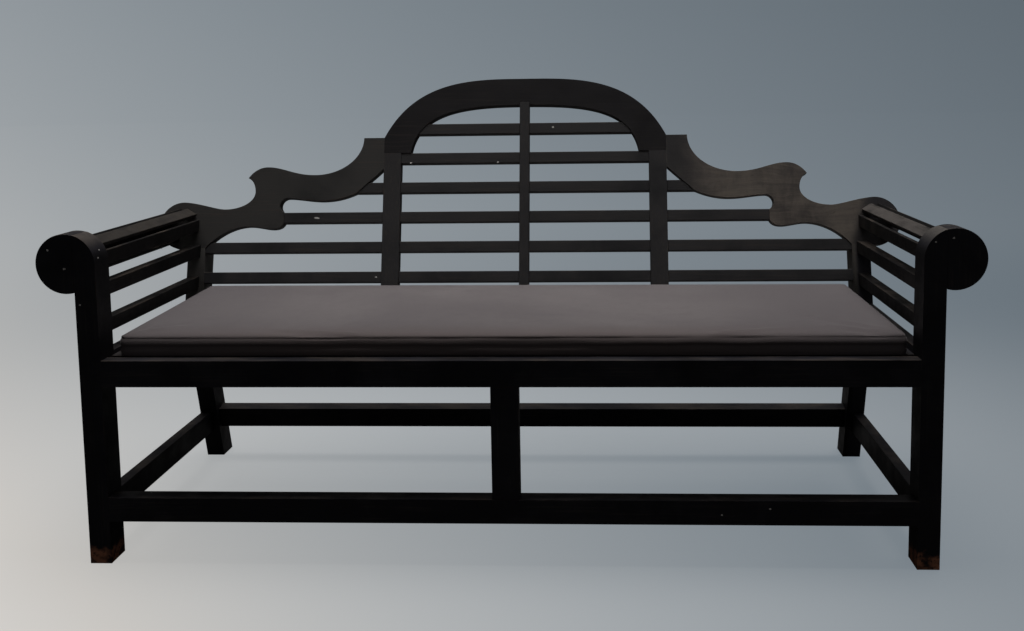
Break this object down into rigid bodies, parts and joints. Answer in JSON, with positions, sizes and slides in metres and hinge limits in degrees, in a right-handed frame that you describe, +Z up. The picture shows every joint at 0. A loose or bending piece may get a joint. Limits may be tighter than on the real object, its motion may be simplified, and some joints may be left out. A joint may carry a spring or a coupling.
{
  "type": "daybed",
  "caption": "Long slatted daybed of black-painted hardwood with rolled arms, an arched and scroll-shouldered raked back, low stretchers and one loose seat cushion",
  "frame": {"origin": "on the floor, in the middle of the footprint's bounding box", "axes": "+X along the seat towards the right-hand arm as seen from in front, +Y from the front to the back, +Z up"},
  "size_m": [1.95, 0.7892, 1.0265],
  "materials": {
    "painted_hardwood": "satin",
    "bare_hardwood": "matte",
    "screw_steel": "satin",
    "cushion_cloth": "matte"
  },
  "bodies": {
    "frame": {"arm_cheek_left": "painted_hardwood", "arm_cheek_right": "painted_hardwood", "arm_slat_lower_left": "painted_hardwood", "arm_slat_lower_right": "painted_hardwood", "arm_slat_upper_left": "painted_hardwood", "arm_slat_upper_right": "painted_hardwood", "back_scroll_left": "painted_hardwood", "back_scroll_right": "painted_hardwood", "back_slat_1": "painted_hardwood", "back_slat_2": "painted_hardwood", "back_slat_3": "painted_hardwood", "back_slat_4": "painted_hardwood", "back_slat_5": "painted_hardwood", "back_slat_6": "painted_hardwood", "back_stile_centre": "painted_hardwood", "back_stile_left": "painted_hardwood", "back_stile_right": "painted_hardwood", "board_screws": "screw_steel", "centre_strut": "painted_hardwood", "cleat_screws": "screw_steel", "crest_arch": "painted_hardwood", "crest_dowels": "bare_hardwood", "front_leg_left": "painted_hardwood", "front_leg_right": "painted_hardwood", "front_seat_rail": "painted_hardwood", "front_stretcher": "painted_hardwood", "rear_leg_left": "painted_hardwood", "rear_leg_right": "painted_hardwood", "rear_seat_rail": "painted_hardwood", "rear_stretcher": "painted_hardwood", "roll_slat_1_left": "painted_hardwood", "roll_slat_1_right": "painted_hardwood", "roll_slat_2_left": "painted_hardwood", "roll_slat_2_right": "painted_hardwood", "roll_slat_3_left": "painted_hardwood", "roll_slat_3_right": "painted_hardwood", "roll_slat_4_left": "painted_hardwood", "roll_slat_4_right": "painted_hardwood", "roll_slat_5_left": "painted_hardwood", "roll_slat_5_right": "painted_hardwood", "seat_bearer_centre": "painted_hardwood", "seat_bearer_left": "painted_hardwood", "seat_bearer_right": "painted_hardwood", "seat_cleat_left": "painted_hardwood", "seat_cleat_right": "painted_hardwood", "seat_slat_1": "painted_hardwood", "seat_slat_2": "painted_hardwood", "seat_slat_3": "painted_hardwood", "seat_slat_4": "painted_hardwood", "seat_slat_5": "painted_hardwood", "seat_slat_6": "painted_hardwood", "seat_slat_7": "painted_hardwood", "seat_slat_screws": "screw_steel", "side_seat_rail_left": "painted_hardwood", "side_seat_rail_right": "painted_hardwood", "side_stretcher_left": "painted_hardwood", "side_stretcher_right": "painted_hardwood", "tenon_pegs": "bare_hardwood"},
    "cushion": {"seat_cushion": "cushion_cloth"}
  },
  "joints": [
    {"name": "lift_cushion", "type": "slide", "parent": "frame", "child": "cushion", "axis": [0, 0, 1], "range_m": [0, 0.3]}
  ]
}
